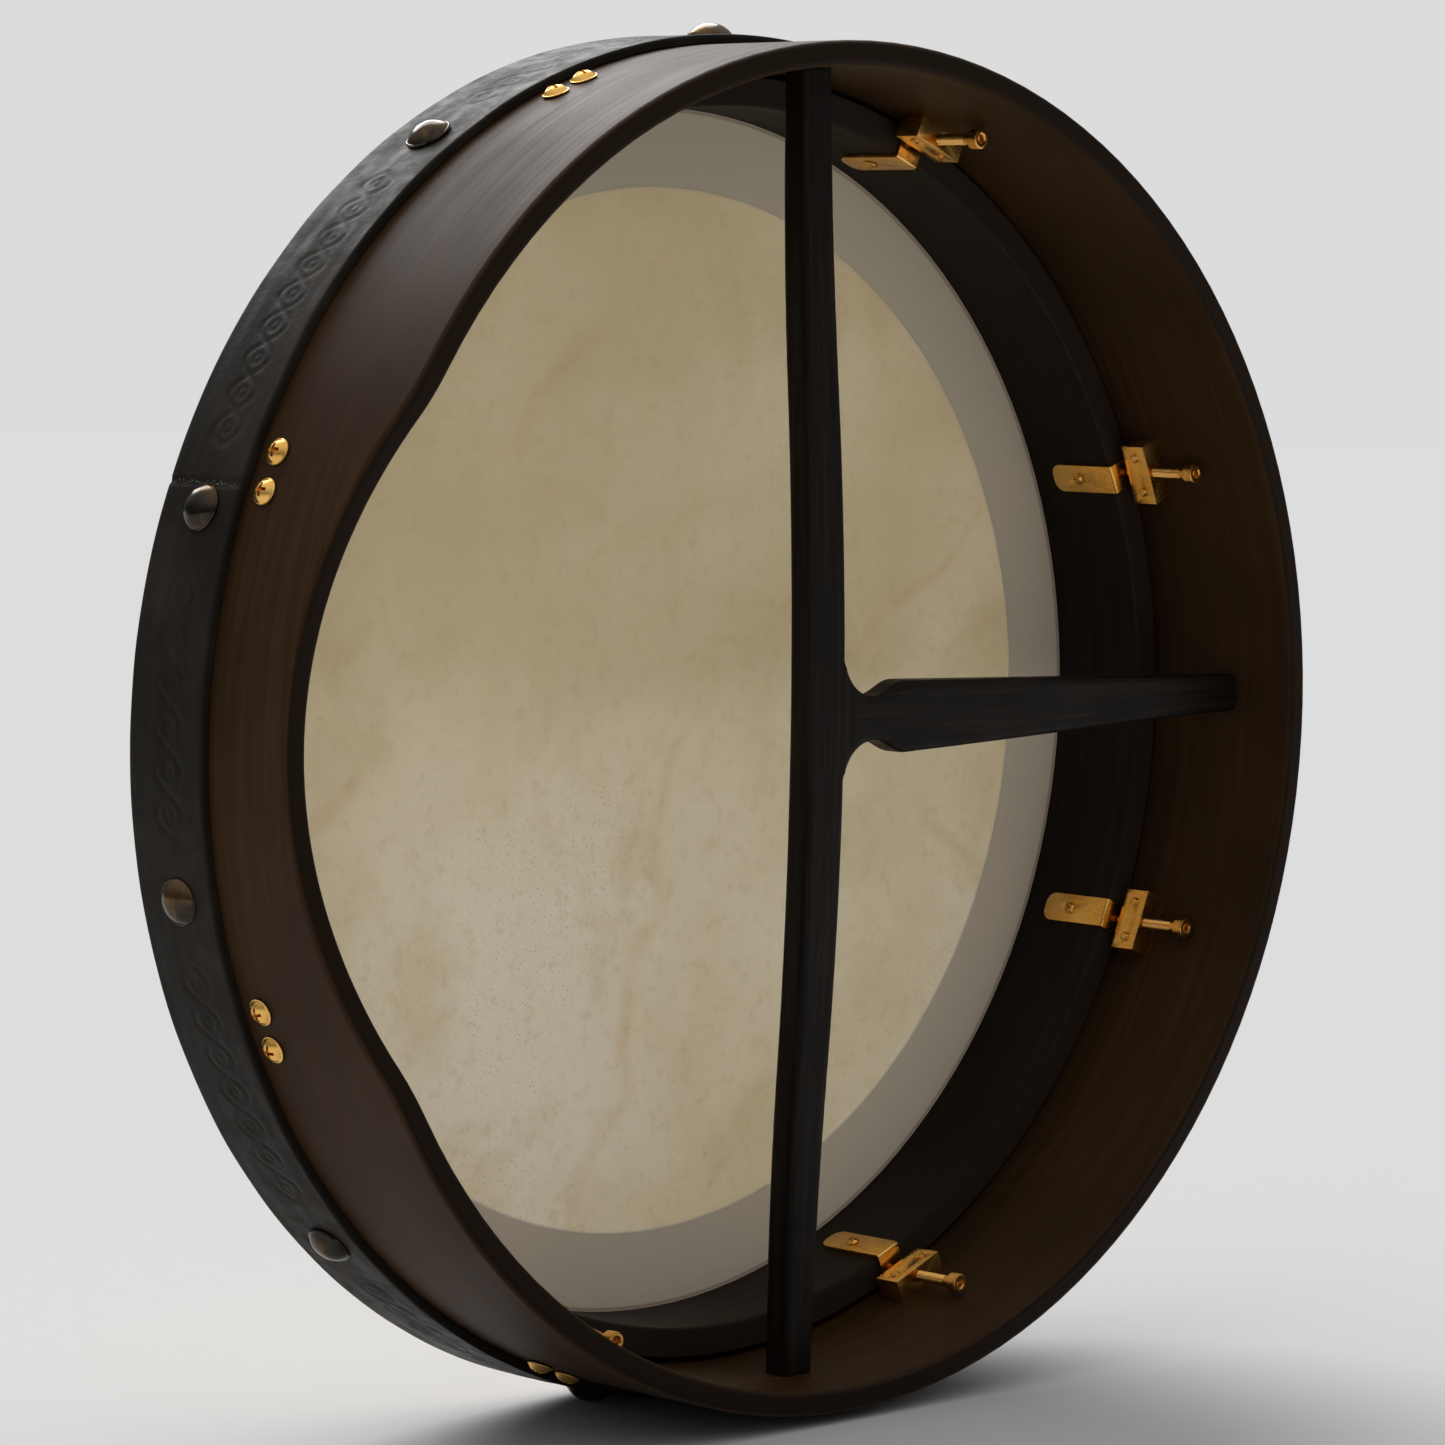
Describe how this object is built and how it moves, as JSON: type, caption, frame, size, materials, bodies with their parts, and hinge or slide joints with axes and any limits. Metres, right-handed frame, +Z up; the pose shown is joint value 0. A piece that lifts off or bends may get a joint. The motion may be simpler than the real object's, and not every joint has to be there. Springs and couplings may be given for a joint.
{
  "type": "bodhran",
  "caption": "Round wooden frame drum with a skin on one side, an open scooped back with a T-shaped hand bar, and an inner hoop pushed against the skin by socket bolts.",
  "frame": {"origin": "centre of the playing face, on the front surface of the skin", "axes": "+Y along the drum's axis and out of the playing face, the open back faces -Y, +Z up with the drum standing on its rim, arm scoop on the -X side, T-bar's arm towards +X"},
  "size_m": [0.466, 0.1023, 0.4682],
  "materials": {
    "shell_wood": "dark brown stained wood under satin lacquer",
    "ebonised_wood": "near-black stained hardwood, satin",
    "hoop_wood": "dark stained ply hoop, satin",
    "goat_skin": "natural goat skin, mottled, slightly translucent",
    "grey_tape": "dark self-adhesive damping tape",
    "black_leather": "black embossed leather",
    "antique_bronze": "antiqued bronze-plated steel, glossy",
    "gilt_brass": "gold-coloured polished brass",
    "gilt_steel": "gold-plated steel socket screw"
  },
  "bodies": {
    "frame": {"shell": "shell_wood", "t_bar_post": "ebonised_wood", "t_bar_arm": "ebonised_wood", "drumhead": "goat_skin", "damping_tape": "grey_tape", "leather_band": "black_leather", "dome_tacks": "antique_bronze", "block_screws": "gilt_brass", "tuner_block_1": "gilt_brass", "tuner_block_2": "gilt_brass", "tuner_block_3": "gilt_brass", "tuner_block_4": "gilt_brass", "tuner_block_5": "gilt_brass", "tuner_block_6": "gilt_brass", "tuner_block_7": "gilt_brass", "tuner_block_8": "gilt_brass"},
    "tuning_hoop": {"tuning_hoop": "hoop_wood", "bracket_screws": "gilt_brass", "hoop_bracket_1": "gilt_brass", "hoop_bracket_2": "gilt_brass", "hoop_bracket_3": "gilt_brass", "hoop_bracket_4": "gilt_brass", "hoop_bracket_5": "gilt_brass", "hoop_bracket_6": "gilt_brass", "hoop_bracket_7": "gilt_brass", "hoop_bracket_8": "gilt_brass"},
    "bolt_1": {"tuner_bolt_1": "gilt_steel"},
    "bolt_2": {"tuner_bolt_2": "gilt_steel"},
    "bolt_3": {"tuner_bolt_3": "gilt_steel"},
    "bolt_4": {"tuner_bolt_4": "gilt_steel"},
    "bolt_5": {"tuner_bolt_5": "gilt_steel"},
    "bolt_6": {"tuner_bolt_6": "gilt_steel"},
    "bolt_7": {"tuner_bolt_7": "gilt_steel"},
    "bolt_8": {"tuner_bolt_8": "gilt_steel"}
  },
  "joints": [
    {"name": "hoop_slide", "type": "slide", "parent": "frame", "child": "tuning_hoop", "axis": [0, 1, 0], "range_m": [-0.0021, 0]},
    {"name": "bolt_turn_1", "type": "hinge", "parent": "tuning_hoop", "child": "bolt_1", "pos_m": [0.199, -0.055, 0.08243], "axis": [0, 1, 0], "range_deg": [-1090, 0]},
    {"name": "bolt_turn_2", "type": "hinge", "parent": "tuning_hoop", "child": "bolt_2", "pos_m": [0.08243, -0.055, 0.199], "axis": [0, 1, 0], "range_deg": [-1090, 0]},
    {"name": "bolt_turn_3", "type": "hinge", "parent": "tuning_hoop", "child": "bolt_3", "pos_m": [-0.08243, -0.055, 0.199], "axis": [0, 1, 0], "range_deg": [-1090, 0]},
    {"name": "bolt_turn_4", "type": "hinge", "parent": "tuning_hoop", "child": "bolt_4", "pos_m": [-0.199, -0.055, 0.08243], "axis": [0, 1, 0], "range_deg": [-1090, 0]},
    {"name": "bolt_turn_5", "type": "hinge", "parent": "tuning_hoop", "child": "bolt_5", "pos_m": [-0.199, -0.055, -0.08243], "axis": [0, 1, 0], "range_deg": [-1090, 0]},
    {"name": "bolt_turn_6", "type": "hinge", "parent": "tuning_hoop", "child": "bolt_6", "pos_m": [-0.08243, -0.055, -0.199], "axis": [0, 1, 0], "range_deg": [-1090, 0]},
    {"name": "bolt_turn_7", "type": "hinge", "parent": "tuning_hoop", "child": "bolt_7", "pos_m": [0.08243, -0.055, -0.199], "axis": [0, 1, 0], "range_deg": [-1090, 0]},
    {"name": "bolt_turn_8", "type": "hinge", "parent": "tuning_hoop", "child": "bolt_8", "pos_m": [0.199, -0.055, -0.08243], "axis": [0, 1, 0], "range_deg": [-1090, 0]}
  ],
  "couplings": [
    {"joint": "bolt_turn_1", "follows": "hoop_slide", "rad_per_m": 8976},
    {"joint": "bolt_turn_2", "follows": "hoop_slide", "rad_per_m": 8976},
    {"joint": "bolt_turn_3", "follows": "hoop_slide", "rad_per_m": 8976},
    {"joint": "bolt_turn_4", "follows": "hoop_slide", "rad_per_m": 8976},
    {"joint": "bolt_turn_5", "follows": "hoop_slide", "rad_per_m": 8976},
    {"joint": "bolt_turn_6", "follows": "hoop_slide", "rad_per_m": 8976},
    {"joint": "bolt_turn_7", "follows": "hoop_slide", "rad_per_m": 8976},
    {"joint": "bolt_turn_8", "follows": "hoop_slide", "rad_per_m": 8976}
  ]
}
